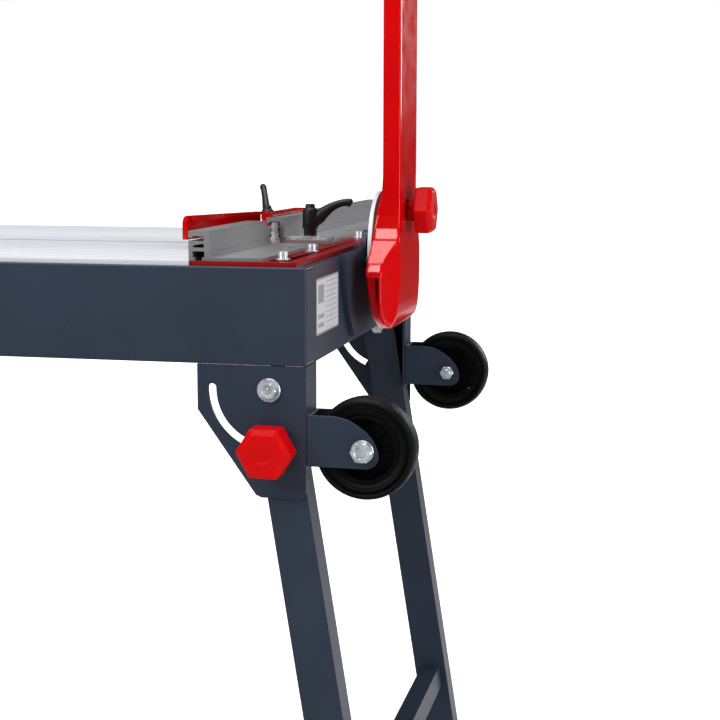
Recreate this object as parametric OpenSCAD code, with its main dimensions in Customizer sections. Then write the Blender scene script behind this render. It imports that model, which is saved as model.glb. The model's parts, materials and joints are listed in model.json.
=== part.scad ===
// Bridge tile saw with a tilting cutting head, on a wheeled stand with folding legs.
// Millimetres. +X along the cut towards the wheel end, +Y to the back, +Z up.
// The origin is the centre of the whole machine's outline on the floor.

/* [Frame] */
// Length of the frame
frame_len = 1500; // [1480:10:2000]
// Depth of the frame, front to back
frame_depth = 544; // [500:4:600]
// Height of the frame panels
frame_h = 94; // [90:1:120]
// Height of the frame's lower edge above the floor
leg_drop = 682; // [600:1:760]

/* [Table] */
// Thickness of the ribbed table top
table_t = 4.5; // [4:0.5:6]
// Width of the slot that the blade runs in
blade_gap = 16; // [12:1:24]

/* [Bridge] */
// Height of the beam's lower face above the table
beam_z = 275; // [270:1:300]
// Height of the beam
beam_h = 90; // [80:1:100]
// Width of the beam
beam_w = 50; // [44:1:56]
// Reach of the tilting plate below and around its pivot
shield_r = 91; // [88:1:94]

/* [Cutting head] */
// Radius of the blade
blade_r = 100; // [90:1:102]
// Height of the blade centre above the table with the head raised
blade_z = 146; // [140:1:150]
// Place of the carriage along the beam
carriage_x = -290; // [-600:1:583]

/* [Wheels and legs] */
// Radius of the transport wheels
wheel_r = 50; // [45:1:52]
// Width of the transport wheels
wheel_w = 30; // [24:1:32]
// Lean of the legs away from the vertical
leg_lean = 9; // [6:0.5:10]

/* [Hidden] */
$fn = 64;
sheet = 3;
flange = 30;
wheel_x = 55;
wheel_z = -79.3;
wheel_y = 20.5;
foot_out = 91;
reach_r = wheel_x + wheel_r;
// The right end of the frame, placed so that the outline is centred
xr = frame_len / 2 - (reach_r - foot_out) / 2;
xl = xr - frame_len;
mid_x = (xr + xl) / 2;
half_y = frame_depth / 2;
knob_front = 33;
fence_end = 830;
// The front face of the frame, placed so that the outline is centred
front_y = -(fence_end - knob_front) / 2;
mid_y = front_y + half_y;
table_z = frame_h + table_t;
// The tilt axis, in the frame's own measures
axis_y = 256;
pin_x = -36.5;
pin_z = -23.5;
lock_r = 57;
lock_at = 1.5;
fold = 92;
leg_w = 40;
leg_d = 30;
leg_in = 3.5;
knob_r = 27.5;
slot_r = 4;
stud_r = 3.5;
bolt_r = 5;
run_gap = 0.05;
arm_in = 21.5;
arm_out = 50;
column_in = 31;
column_half = 48;
arm_top = 385;
tilt_lock_r = 39.6;
tilt_slot_r = 5.5;
hub_r = 8;
plate_x0 = -117;
plate_x1 = -10;
fence_x0 = -119;
fence_x1 = -98;
fence_foot = -45;
fence_h = 28.3;
far_fence_y = 281;
stop_pin = [-137, 350];
foot_z = leg_drop;

dark = [0.2, 0.235, 0.29];
red = [0.8, 0.01, 0.03];
alu = [0.78, 0.79, 0.8];
zinc = [0.72, 0.73, 0.74];
black = [0.05, 0.05, 0.055];
rubber = [0.04, 0.04, 0.04];

// Frames of reference -------------------------------------------------------

// Right end face, front face and lower edge of the frame as zero planes
module at_frame() { translate([xr, front_y, leg_drop]) children(); }
// The same at the left end, mirrored
module at_left() { translate([2 * mid_x, 0, 0]) mirror([1, 0, 0]) children(); }
// The same at the back, mirrored
module at_back() { translate([0, 2 * mid_y, 0]) mirror([0, 1, 0]) children(); }
// Tilt axis as zero for Y and Z, right end face as zero for X
module at_axis() { translate([xr, front_y + axis_y, leg_drop + table_z]) children(); }
// Carriage centre as zero for X
module at_carriage() {
    translate([carriage_x, front_y + axis_y, leg_drop + table_z]) children();
}

// General shapes ------------------------------------------------------------

// Box between two opposite corners
module box(a, b) { translate(a) cube([b[0] - a[0], b[1] - a[1], b[2] - a[2]]); }

// Cylinder along X, from x0 to x1
module rod_x(r, x0, x1) { translate([x0, 0, 0]) rotate([0, 90, 0]) cylinder(r = r, h = x1 - x0); }
// Cylinder along Y, from y0 to y1
module rod_y(r, y0, y1) { translate([0, y1, 0]) rotate([90, 0, 0]) cylinder(r = r, h = y1 - y0); }
// Six-sided prism along Y, given its size across flats
module hex_y(af, y0, y1) {
    translate([0, y1, 0]) rotate([90, 0, 0]) cylinder(r = af / 2 / cos(30), h = y1 - y0, $fn = 6);
}
// Six-sided prism along X, given its size across flats
module hex_x(af, x0, x1) {
    translate([x0, 0, 0]) rotate([0, 90, 0]) cylinder(r = af / 2 / cos(30), h = x1 - x0, $fn = 6);
}
// Outline in X and Z, thickened from y0 to y1
module slab_y(y0, y1) { translate([0, y1, 0]) rotate([90, 0, 0]) linear_extrude(y1 - y0) children(); }
// Outline in Y and Z, thickened from x0 to x1
module slab_x(x0, x1) {
    translate([x0, 0, 0]) rotate([90, 0, 90]) linear_extrude(x1 - x0) children();
}

// Curved slot outline of the given half width, with rounded ends at two angles
module arc_band(r, half, a0, a1, steps = 24) {
    polygon(concat(
        [for (i = [0:steps]) let (a = a0 + (a1 - a0) * i / steps)
            [(r + half) * cos(a), (r + half) * sin(a)]],
        [for (i = [0:steps]) let (a = a1 - (a1 - a0) * i / steps)
            [(r - half) * cos(a), (r - half) * sin(a)]]));
    for (a = [a0, a1]) translate([r * cos(a), r * sin(a)]) circle(r = half);
}

// Frame -----------------------------------------------------------------------

// A long side panel folded inwards along both edges
module side_panel() {
    at_frame() difference() {
        box([-frame_len, 0, 0], [0, flange + sheet, frame_h]);
        box([-frame_len - 1, sheet, sheet], [1, flange + sheet + 1, frame_h - sheet]);
    }
}
module frame_front() { color(dark) side_panel(); }
module frame_back() { color(dark) at_back() side_panel(); }

// An end panel between the side panels, folded inwards along its upper edge
module end_panel() {
    at_frame() difference() {
        union() {
            box([-sheet, sheet, sheet], [0, frame_depth - sheet, frame_h - sheet]);
            box([-sheet, flange + sheet, 0], [0, frame_depth - flange - sheet, sheet]);
            box([-9, flange + sheet, frame_h - sheet], [0, frame_depth - flange - sheet, frame_h]);
        }
        for (y = [-60, 60]) translate([0, axis_y + y, 44]) rod_x(4.2, -10, 1);
        for (y = [-70, 70]) translate([0, axis_y + y, 74]) rod_x(4.2, -10, 1);
    }
}
module frame_right() { color(dark) end_panel(); }
module frame_left() { color(dark) at_left() end_panel(); }

// Square tubes across the frame that carry the tray
module cross_rails() {
    rail = 20;
    color(dark) for (x = [-250, -750, -1250]) at_frame() difference() {
        box([x - rail / 2, sheet + 0.2, sheet], [x + rail / 2, frame_depth - sheet - 0.2, sheet + rail]);
        box([x - rail / 2 + 2, 0, sheet + 2], [x + rail / 2 - 2, frame_depth, sheet + rail - 2]);
    }
}

// The open water tray under the table
tray_y0 = 36;
tray_x1 = -14;
tray_z0 = 23;
tray_z1 = 80;
drain_x = -420;
module water_tray() {
    wall = 2;
    color(black) at_frame() difference() {
        union() {
            box([-frame_len - tray_x1, tray_y0, tray_z0], [tray_x1, frame_depth - tray_y0, tray_z1]);
            translate([drain_x, frame_depth / 2, 0]) translate([0, 0, 9]) cylinder(r = 14, h = tray_z0 - 9);
        }
        box([-frame_len - tray_x1 + wall, tray_y0 + wall, tray_z0 + wall],
            [tray_x1 - wall, frame_depth - tray_y0 - wall, tray_z1 + 1]);
        translate([drain_x, frame_depth / 2, 0]) cylinder(r = 10, h = 60);
    }
}
// The rubber plug in the tray's drain
module drain_plug() {
    color(rubber) at_frame() translate([drain_x, frame_depth / 2, 0]) {
        translate([0, 0, 5]) cylinder(r = 13, h = 4);
        translate([0, 0, 8.5]) cylinder(r = 9.95, h = 14);
        translate([0, 0, 2]) cylinder(r = 4, h = 4);
    }
}

// One half of the table: ribbed on top, with stiffening webs below
rib_pitch = 20;
module table_half(y0, y1) {
    x0 = -frame_len - plate_x0 + 0.3;
    x1 = plate_x0 - 0.3;
    groove = 1.2;
    count = floor((y1 - y0 - 14) / rib_pitch);
    at_frame() difference() {
        union() {
            box([x0, y0, frame_h], [x1, y1, table_z]);
            for (i = [1:2:min(count, 11)]) box([x0, y0 + i * rib_pitch + 16, frame_h - 9],
                                               [x1, y0 + i * rib_pitch + 19, frame_h + 0.5]);
        }
        for (i = [0:count]) box([x0 - 1, y0 + 9 + i * rib_pitch, table_z - groove],
                                [x1 + 1, y0 + 13 + i * rib_pitch, table_z + 1]);
        for (i = [0:count - 1]) box([x0 - 1, y0 + 20 + i * rib_pitch, table_z - 0.6],
                                    [x1 + 1, y0 + 22 + i * rib_pitch, table_z + 1]);
    }
}
module table_front() { color(alu) table_half(5, axis_y - blade_gap / 2); }
module table_back() { color(alu) table_half(axis_y + blade_gap / 2, frame_depth - 5); }

// The red end plate that carries the fence, notched for the blade
screw_y = [37, 150, 375, 507];
module end_plate() {
    at_frame() difference() {
        box([plate_x0, 5, frame_h], [plate_x1, frame_depth - 5, table_z]);
        box([plate_x0 - 1, axis_y - blade_gap / 2, frame_h - 1], [-58, axis_y + blade_gap / 2, table_z + 1]);
        translate([-58, axis_y, frame_h - 1]) cylinder(r = blade_gap / 2, h = 10);
        for (y = screw_y) translate([-32, y, frame_h - 1]) cylinder(r = 2.6, h = 10);
        // hole for the fence lever's stud
        translate([lever_at[0], lever_at[1], frame_h - 1]) cylinder(r = 3 + run_gap, h = 10);
        // long relief grooves on each side of the screw line
        for (x = [-41, -22]) box([x - 1.5, 16, table_z - 1.2], [x + 1.5, frame_depth - 16, table_z + 1]);
    }
}
module end_plate_right() { color(red) end_plate(); }
module end_plate_left() { color(red) at_left() end_plate(); }

// Cap screws with washers on both end plates
module cap_screw() {
    cylinder(r = 7, h = 1.2);
    difference() {
        translate([0, 0, 1]) cylinder(r = 4.6, h = 7);
        translate([0, 0, 5]) cylinder(r = 2.4, h = 4, $fn = 6);
    }
    translate([0, 0, -table_t + 0.1]) cylinder(r = 2.55, h = table_t + 1);
}
module plate_screws() { at_frame() for (y = screw_y) translate([-32, y, table_z + 0.02]) cap_screw(); }
module table_screws() {
    color(zinc) { plate_screws(); at_left() plate_screws(); }
}

// Fence -------------------------------------------------------------------------

// Cross-section of the fence in X and height above the table
module fence_outline() {
    h = fence_h;
    difference() {
        union() {
            translate([fence_x0, 0]) square([fence_x1 - fence_x0, h]);
            translate([fence_x1 - 1, 0]) square([fence_foot - fence_x1 + 1, 3]);
        }
        // upper slot, open towards the tiles, with an undercut behind its lips
        translate([fence_x0 + 4, h - 9.5]) square([11.5, 4.6]);
        translate([fence_x0 - 1, h - 9.5]) square([8, 3]);
        // closed hollow
        translate([fence_x0, 0]) polygon([[4.5, 14.6], [15.5, 16.2], [15.5, 12.4], [4.5, 12.4]]);
        // lower slot, open downwards
        translate([fence_x0 + 4, 3]) square([12, 5.8]);
        translate([fence_x0 + 6.5, -1]) square([7, 5]);
        // shadow line along the outer face
        translate([fence_x1 - 0.8, 7.4]) square([1, 1.4]);
    }
}
module fence_run(y0, y1) {
    translate([0, 0, table_z + 0.02]) slab_y(y0, y1) fence_outline();
}
module fence_near() {
    color(alu) at_frame() difference() {
        fence_run(10, 238);
        // mitred end that lets the tilted blade pass
        translate([-150, 203.5 + fence_h, table_z]) rotate([45, 0, 0]) box([0, 0, -60], [120, 80, 80]);
        translate([fence_foot - 12, 160, table_z]) cylinder(r = 4.5, h = 10);
    }
}
module fence_far() {
    color(alu) at_frame() difference() {
        fence_run(far_fence_y, fence_end);
        for (y = [291, 470]) translate([-70, y, table_z - 1]) cylinder(r = y < 300 ? 4.25 : 3.2, h = 10);
    }
}

// The clamp strap on the far fence's foot, its bolt and its lever
strap_z = table_z + 3.1;
strap_t = 3;
lever_at = [-70, 291];
module fence_strap() {
    color(zinc) at_frame() difference() {
        union() {
            box([-97.4, 283, strap_z], [-50, 299, strap_z + strap_t]);
            translate([-50, 291, strap_z]) cylinder(r = 8, h = strap_t);
        }
        translate([lever_at[0], lever_at[1], strap_z - 1]) cylinder(r = 4.25, h = 8);
    }
}
// Upright bolt and nut in front of the far fence's end
module strap_bolt() {
    color(zinc) at_frame() {
        translate([-107, 273.5, table_z + 0.05]) {
            cylinder(r = 6.5, h = 1.2);
            translate([0, 0, 1]) cylinder(r = 5.9, h = 5, $fn = 6);
            translate([0, 0, 5]) cylinder(r = 3.9, h = 17.5);
        }
        // washer under the fence lever
        translate([lever_at[0], lever_at[1], strap_z + strap_t + 0.02]) difference() {
            cylinder(r = 10, h = 1.4);
            translate([0, 0, -1]) cylinder(r = 3.8, h = 4);
        }
    }
}
// Clamp lever: a round hub and a curved arm, pointing along +X
module clamp_lever(hub, hub_h, reach, rise, stud) {
    cylinder(r = hub - 1.5, h = 8);
    translate([0, 0, 7]) cylinder(r = hub, h = hub_h - 11);
    translate([0, 0, hub_h - 4.5]) cylinder(r = hub - 3.5, h = 4.5);
    for (i = [0:4]) {
        t0 = i / 5;
        t1 = (i + 1) / 5;
        hull() {
            lever_node(hub_h, reach, rise, t0);
            lever_node(hub_h, reach, rise, t1);
        }
    }
    // threaded stud
    translate([0, 0, -stud]) cylinder(r = 3, h = stud + 2);
}
module lever_node(hub_h, reach, rise, t) {
    translate([2 + (reach - 6) * t, 0, hub_h * 0.42 + rise * (1.7 * t - 0.7 * t * t)])
        rotate([90, 0, 0]) translate([0, 0, -5 + 0.8 * t])
            cylinder(r = 7.5 - 3.2 * t, h = 10 - 1.6 * t, $fn = 24);
}
module fence_lever() {
    color(black) at_frame() translate([lever_at[0], lever_at[1], strap_z + strap_t + 1.6])
        rotate([0, 0, 12]) clamp_lever(9, 36, 54, 19, 11);
}
// Angle stop: a red bar hooked in the fence's upper slot and a swinging arm
bar_z0 = table_z + 13;
bar_z1 = table_z + 33;
module stop_body() {
    color(red) at_frame() difference() {
        union() {
            box([fence_x0 - 6.3, 284, bar_z0], [fence_x0 - 0.3, 430, bar_z1]);
            // cap over the fence's top edge
            box([fence_x0 - 6.3, 284, table_z + fence_h + 0.5], [fence_x0 + 6, 430, bar_z1]);
            // tongue in the slot
            box([fence_x0 - 1, 284, table_z + fence_h - 9.1],
                [fence_x0 + 4.6, 430, table_z + fence_h - 6.9]);
            // ear that carries the arm's pivot
            translate([0, stop_pin[1], bar_z0]) {
                box([stop_pin[0] - 2, -11, -9], [fence_x0 - 5.8, 11, -4]);
                box([fence_x0 - 6.3, -11, -9], [fence_x0 - 0.6, 11, 1]);
            }
            translate([stop_pin[0], stop_pin[1], bar_z0 - 9]) cylinder(r = 11, h = 5);
        }
        translate([stop_pin[0], stop_pin[1], 0]) cylinder(r = 3 + run_gap, h = 200);
    }
}
module stop_arm() {
    swing = 80;
    arm_len = 190;
    color(red) at_frame() translate([stop_pin[0], stop_pin[1], 0]) rotate([0, 0, swing]) difference() {
        union() {
            translate([0, 0, bar_z0 - 3.7]) cylinder(r = 11, h = 4);
            box([-20, -9, bar_z0 - 3.7], [0, 9, bar_z0 + 0.3]);
            // upright blade of the arm, cut back at its tip
            slab_y(3.5, 9) polygon([
                [-arm_len, bar_z0 - 3.7], [-12, bar_z0 - 3.7], [-12, bar_z1 - 1],
                [7 - arm_len, bar_z1 + 1.5], [2.5 - arm_len, bar_z1 - 0.5], [-arm_len, bar_z1 - 5]]);
            slab_y(-2, 9) polygon([[8 - arm_len, bar_z1 - 4], [-12, bar_z1 - 4],
                [-12, bar_z1 - 1], [8 - arm_len, bar_z1 + 1.5]]);
        }
        cylinder(r = 3 + run_gap, h = 200);
    }
}
module stop_lever() {
    color(black) at_frame() translate([stop_pin[0], stop_pin[1], bar_z0 + 0.7])
        rotate([0, 0, 114]) clamp_lever(8, 25, 44, 34, 12.5);
}

// Stand ---------------------------------------------------------------------------

// Outline of the leg bracket in X and Z
module bracket_outline() {
    difference() {
        polygon([[-108.6, -0.3], [0, -0.3], [0, -124], [-5, -129.3], [-45, -129.3], [-50.5, -127],
            [-108.6, -44.7]]);
        translate([pin_x, pin_z]) circle(r = bolt_r + run_gap);
        translate([pin_x, pin_z]) arc_band(lock_r, slot_r, -90 + lock_at - fold, -90 + lock_at);
    }
}
module leg_bracket() {
    at_frame() {
        slab_y(0, sheet) bracket_outline();
        box([-sheet, 0, -100], [0, flange + 11, -0.3]);
    }
}
module leg_bracket_rf() { color(dark) leg_bracket(); }
module leg_bracket_rb() { color(dark) at_back() leg_bracket(); }
module leg_bracket_lf() { color(dark) at_left() leg_bracket(); }
module leg_bracket_lb() { color(dark) at_back() at_left() leg_bracket(); }

// Fork for one transport wheel: two cheeks on a base plate
module fork_outline() {
    difference() {
        polygon([[0.3, -96.5], [0.3, -46.5], [25, -46.5], [35, -48], [43, -50.7], [50.7, -55.2], [58.5, -61],
            [64.3, -67.7], [68.1, -74.5], [70.4, -82.2], [70, -88], [66.5, -93.5], [60, -96.5]]);
        translate([wheel_x, wheel_z]) circle(r = bolt_r + run_gap);
    }
}
fork_y0 = 0.4;
fork_y1 = 40.6;
module wheel_fork() {
    at_frame() {
        slab_y(fork_y0, fork_y0 + sheet) fork_outline();
        slab_y(fork_y1 - sheet, fork_y1) fork_outline();
        box([0.3, fork_y0, -96.5], [0.3 + sheet, fork_y1, -46.5]);
    }
}
module wheel_forks() { color(dark) { wheel_fork(); at_back() wheel_fork(); } }

// Wheels: a rubber tyre on a spoked plastic hub
module at_wheel() { at_frame() translate([wheel_x, wheel_y, wheel_z]) children(); }
module tyre() {
    w = wheel_w / 2;
    at_wheel() rotate([90, 0, 0]) rotate_extrude($fn = 96) polygon([
        [34, -w + 1.5], [41, -w + 1.5], [42, -w], [45, -w], [48.3, -w + 3], [wheel_r, -w + 7.5],
        [wheel_r, w - 7.5], [48.3, w - 3], [45, w], [42, w], [41, w - 1.5], [34, w - 1.5]]);
}
module wheel_hub() {
    at_wheel() difference() {
        union() {
            rotate([90, 0, 0]) rotate_extrude($fn = 96) polygon([
                [24, -3], [24, 3], [30, 3], [30, 12], [33.95, 12], [33.95, -12], [30, -12], [30, -3]]);
            rod_y(24.2, -3, 3);
            rod_y(12, -16.2, 16.2);
            for (a = [0:45:315]) rotate([0, a, 0]) box([10, -5, -1.5], [31, 5, 1.5]);
        }
        rod_y(bolt_r + run_gap, -20, 20);
    }
}
module tyre_front() { color(rubber) tyre(); }
module tyre_back() { color(rubber) at_back() tyre(); }
module hub_front() { color(black) wheel_hub(); }
module hub_back() { color(black) at_back() wheel_hub(); }

// Leg pivots and wheel axles: hexagon bolts with washers and nuts
module pivot_bolt() {
    at_frame() translate([pin_x, 0, pin_z]) {
        rod_y(11.5, -2, -0.02);
        hex_y(15, -8, -1.9);
        rod_y(bolt_r, -3, 44);
        hex_y(15, 35.6, 43);
    }
}
module axle_bolt() {
    at_frame() translate([wheel_x, 0, wheel_z]) {
        rod_y(11, fork_y0 - 2, fork_y0 - 0.02);
        hex_y(19, fork_y0 - 9, fork_y0 - 1.9);
        rod_y(bolt_r, fork_y0 - 3, fork_y1 + 9);
        hex_y(15, fork_y1 + 0.02, fork_y1 + 8);
    }
}
module end_bolts() {
    pivot_bolt();
    at_left() pivot_bolt();
    axle_bolt();
}
module stand_bolts() {
    color(zinc) {
        end_bolts();
        at_back() end_bolts();
    }
}

// One pair of folding legs, joined by a cross tube
pivot_h = leg_drop + pin_z;
leg_run = pivot_h / cos(leg_lean);
rail_at = 470;
module leg_tube() {
    at_frame() translate([pin_x, 0, pin_z]) rotate([0, -leg_lean, 0]) difference() {
        intersection() {
            box([-leg_w / 2, leg_in, -leg_run + 6], [leg_w / 2, leg_in + leg_d, leg_w / 2]);
            union() {
                rod_y(leg_w / 2, 0, 40);
                box([-leg_w, 0, -leg_run], [leg_w, 40, 0]);
            }
        }
        // hollow below the clamp zone
        box([-leg_w / 2 + 2, leg_in + 2, -leg_run], [leg_w / 2 - 2, leg_in + leg_d - 2, -lock_r - 25]);
        rod_y(bolt_r + run_gap, 0, 40);
        rotate([0, leg_lean - lock_at, 0]) translate([0, 0, -lock_r]) rod_y(stud_r + run_gap, 0, 30);
    }
}
module leg_pair() {
    leg_tube();
    at_back() leg_tube();
    at_frame() translate([pin_x, 0, pin_z]) rotate([0, -leg_lean, 0])
        box([-12.5, leg_in + leg_d, -rail_at - 12.5], [12.5, frame_depth - leg_in - leg_d, -rail_at + 12.5]);
}
module legs_right() { color(dark) leg_pair(); }
module legs_left() { color(dark) at_left() leg_pair(); }

// Rubber feet: a sleeve over the tube, cut level with the floor
module foot() {
    intersection() {
        at_frame() translate([pin_x, 0, pin_z]) rotate([0, -leg_lean, 0]) difference() {
            box([-leg_w / 2 - 3, leg_in - 3, -leg_run - 12],
                [leg_w / 2 + 3, leg_in + leg_d + 3, -leg_run + 52]);
            box([-leg_w / 2, leg_in, -leg_run + 6], [leg_w / 2, leg_in + leg_d, -leg_run + 60]);
        }
        at_frame() box([-100, -20, -foot_z], [foot_out, 60, 0]);
    }
}
module foot_pair() { foot(); at_back() foot(); }
module feet_right() { color(rubber) foot_pair(); }
module feet_left() { color(rubber) at_left() foot_pair(); }

// Hexagonal clamping knob along +Y, its front face at the given depth
module hex_knob(depth, stud_r_, stud_len) {
    difference() {
        union() {
            translate([0, -5, 0]) rotate([90, 3, 0]) {
                cylinder(r = knob_r, h = depth - 9, $fn = 6);
                translate([0, 0, depth - 9.5])
                    cylinder(r1 = knob_r - 0.6, r2 = knob_r - 6, h = 4.5, $fn = 6);
            }
            rod_y(13, -5.5, -1.2);
            rod_y(stud_r_, -6, stud_len);
        }
        rod_y(8.5, -depth - 1, -depth + 1.8);
    }
}
module leg_knob() {
    at_frame() translate([pin_x, 0, pin_z]) rotate([0, -lock_at, 0]) translate([0, 0, -lock_r])
        hex_knob(knob_front, stud_r, 29);
}
module leg_knob_rf() { color(red) leg_knob(); }
module leg_knob_rb() { color(red) at_back() leg_knob(); }
module leg_knob_lf() { color(red) at_left() leg_knob(); }
module leg_knob_lb() { color(red) at_back() at_left() leg_knob(); }

// Blank data plate on the wheel end
module rating_plate() { color(alu) at_frame() box([0.02, 39, 24.5], [0.6, 131, 80]); }

// Tilting joint ---------------------------------------------------------------------

// Fixed bracket on the end panel: a half disc, an ear and the pivot pin
module tilt_bracket() {
    at_axis() {
        difference() {
            union() {
                slab_x(0.02, 6) difference() {
                    circle(r = 116, $fn = 128);
                    translate([-120, -1.5]) square([240, 130]);
                    translate([-120, -120]) square([240, 120 - table_z + 6]);
                }
                slab_x(0.02, 6) { circle(r = 17); translate([-24, -30]) square([48, 30]); }
                for (y = [-18, 18]) translate([0, y, -18]) rod_x(6.5, 5, 16.7);
            }
            for (y = [-60, 60]) translate([0, y, 44 - table_z]) rod_x(4.2, -1, 8);
            for (y = [-70, 70]) translate([0, y, 74 - table_z]) rod_x(4.2, -1, 8);
        }
        rod_x(hub_r, 5, 43);
        hex_x(24, 5.5, 14);
    }
}
module tilt_bracket_right() { color(dark) tilt_bracket(); }
module tilt_bracket_left() { color(dark) at_left() tilt_bracket(); }

// Graduated sector with the arc slot that the lock screw runs in
module sector() {
    at_axis() difference() {
        slab_x(17, 21) difference() {
            union() {
                intersection() {
                    circle(r = 60, $fn = 128);
                    polygon([[0, 0], [14, 80], [-80, 80], [-80, -14]]);
                }
                circle(r = 26);
            }
            arc_band(tilt_lock_r, tilt_slot_r, 88, 137);
            circle(r = hub_r + run_gap);
        }
        // scale marks, every five degrees
        for (a = [90:5:140]) rotate([a, 0, 0])
            box([20.6, 53 - (a % 45 == 0 ? 3 : 0), -0.35], [22, 61, 0.35]);
    }
}
module sector_right() { color(alu) sector(); }
module sector_left() { color(alu) at_left() sector(); }

// Bridge --------------------------------------------------------------------------------

// Half outline of the arm, from its top down to the bottom of its shield
arm_side = [[28, 385], [38, 382], [45, 375], [column_half, 365], [column_half, 50], [49, 36], [52.5, 21],
    [60, 9.5], [70, 0.5], [79, -7], [86, -14], [90.5, -22], [92, -32], [92, -52], [90.8, -62], [87, -70],
    [79, -77.5], [66, -83.5], [46, -87], [20, -88]];
module arm_outline() {
    polygon(concat([for (p = arm_side) [-p[0], p[1]]], [for (i = [len(arm_side) - 1:-1:0]) arm_side[i]]));
}
// Side profile of the arm in X and Z
module arm_profile() {
    polygon([[column_in, 385], [arm_out, 385], [arm_out, 32], [50.5, 21], [51.4, 9], [52.2, -3], [52.5, -18],
        [52.3, -40], [51.4, -58], [49.8, -70], [46.9, -79], [42.5, -85], [37, -88.5], [arm_in, -88.5],
        [arm_in, 22], [24.6, 40], [28.9, 54], [column_in, 83]]);
}
// Plan of the arm in X and Y: the shell slopes away from its middle band
module arm_plan() {
    side = [[37.5, 120], [38, 95], [39, 88], [42, 77], [47, 66], [52.5, 58], [60, 50]];
    n = len(side) - 1;
    polygon(concat([[0, -120]], [for (p = side) [p[0], -p[1]]], [for (i = [n:-1:0]) side[i]], [[0, 120]]));
}
// Material taken away beside the round plate, so that the skirt stands over it
module skirt_gap() {
    difference() {
        box([arm_in - 1, -120, -120], [35.5, 120, -28]);
        slab_x(arm_in - 2, 36) circle(r = shield_r, $fn = 128);
    }
    // groove between the round plate and the outer shell
    difference() {
        slab_x(31, 35.5) difference() {
            translate([-130, -130]) square([260, 102]);
            circle(r = shield_r - 12, $fn = 128);
        }
    }
}
module arm() {
    at_axis() difference() {
        union() {
            intersection() {
                slab_x(0, 80) arm_outline();
                slab_y(-120, 120) arm_profile();
                translate([0, 0, -120]) linear_extrude(520) arm_plan();
            }
            translate([0, 0, tilt_lock_r]) rod_x(13, arm_in, column_in + 5);
        }
        skirt_gap();
        // pivot bore, blind from the inside
        rod_x(hub_r + run_gap, 0, 44);
        // lock screw bore
        translate([0, 0, tilt_lock_r]) rod_x(bolt_r + run_gap, 0, 80);
        for (y = [-16, 16]) for (z = [beam_z + 14, beam_z + beam_h - 14])
            translate([0, y, z]) rod_x(4 + run_gap, 0, 80);
    }
}
module arm_right() { color(red) arm(); }
module arm_left() { color(red) at_left() arm(); }

// Knob that clamps the tilt, its screw through the arm and the sector's slot
module arm_knob() {
    at_axis() translate([0, 0, tilt_lock_r]) {
        difference() {
            union() {
                rotate([30, 0, 0]) {
                    hex_x(49.5, 60, 75);
                    translate([74.9, 0, 0]) rotate([0, 90, 0])
                        cylinder(r1 = 28, r2 = 24, h = 4.1, $fn = 6);
                }
                rod_x(13, arm_out + 0.8, 61);
                rod_x(bolt_r, 10.5, 62);
            }
            rod_x(8.5, 77.4, 90);
        }
    }
}
module arm_knob_right() { color(red) arm_knob(); }
module arm_knob_left() { color(red) at_left() arm_knob(); }

// Screws that hold the beam, and the nuts of the two tilt clamps
module end_screws() {
    at_axis() {
        for (y = [-16, 16]) for (z = [beam_z + 14, beam_z + beam_h - 14]) translate([0, y, z]) difference() {
            union() {
                rod_x(4, 16, arm_out + 1);
                rod_x(9, arm_out + 0.02, arm_out + 1.6);
                rod_x(6.5, arm_out + 1.5, arm_out + 9);
            }
            hex_x(6, arm_out + 5, arm_out + 10);
        }
        translate([0, 0, tilt_lock_r]) difference() { hex_x(17, 11, 16.6); rod_x(bolt_r + run_gap, 0, 30); }
    }
}
module bridge_screws() { color(zinc) { end_screws(); at_left() end_screws(); } }

// The beam between the arms: a hollow extrusion with grooved flanks
module beam_outline() {
    b = beam_w / 2;
    difference() {
        translate([-b, beam_z]) square([beam_w, beam_h]);
        translate([-b + 4, beam_z + 4]) square([beam_w - 8, beam_h / 2 - 6]);
        translate([-b + 4, beam_z + beam_h / 2 + 2]) square([beam_w - 8, beam_h / 2 - 6]);
        for (s = [-1, 1]) for (z = [20, 45, 70])
            translate([s * b, beam_z + z]) square([2.4, 7], center = true);
    }
}
module beam() {
    color(alu) translate([0, front_y + axis_y, leg_drop + table_z]) difference() {
        slab_x(xl - column_in + 0.05, xr + column_in - 0.05) beam_outline();
        for (e = [xl - column_in - 1, xr + column_in - 25]) for (y = [-16, 16])
            for (z = [beam_z + 14, beam_z + beam_h - 14]) translate([e, y, z]) rod_x(4 + run_gap, 0, 26);
    }
}

// Carriage ------------------------------------------------------------------------------

car_half = 110;
car_y = 38;
post_x0 = -160;
post_x1 = -130;
module carriage() {
    gap = 2.5;
    b = beam_w / 2;
    color(dark) at_carriage() difference() {
        union() {
            slab_x(-car_half, car_half) polygon([[-car_y, beam_z - 12], [car_y, beam_z - 12],
                [car_y, beam_z + beam_h + 2], [car_y - 10, beam_z + beam_h + 12],
                [-car_y + 10, beam_z + beam_h + 12], [-car_y, beam_z + beam_h + 2]]);
            // bracket out to the guide post
            box([post_x0 - 14, -28, beam_z - 12], [-car_half + 1, 28, beam_z - 4]);
            box([post_x0, -16, 120], [post_x1, 16, beam_z - 6]);
            translate([0, -car_y + 1, beam_z + beam_h / 2]) rod_y(16, -6, 0);
        }
        box([-200, -b - gap, beam_z - gap], [200, b + gap, beam_z + beam_h + gap]);
        translate([0, 0, beam_z + beam_h / 2]) rod_y(4 + run_gap, -car_y - 10, -b);
        // shallow keyway down the post
        box([post_x0 - 1, -4, 100], [post_x0 + 3, 4, beam_z - 14]);
    }
}
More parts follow.
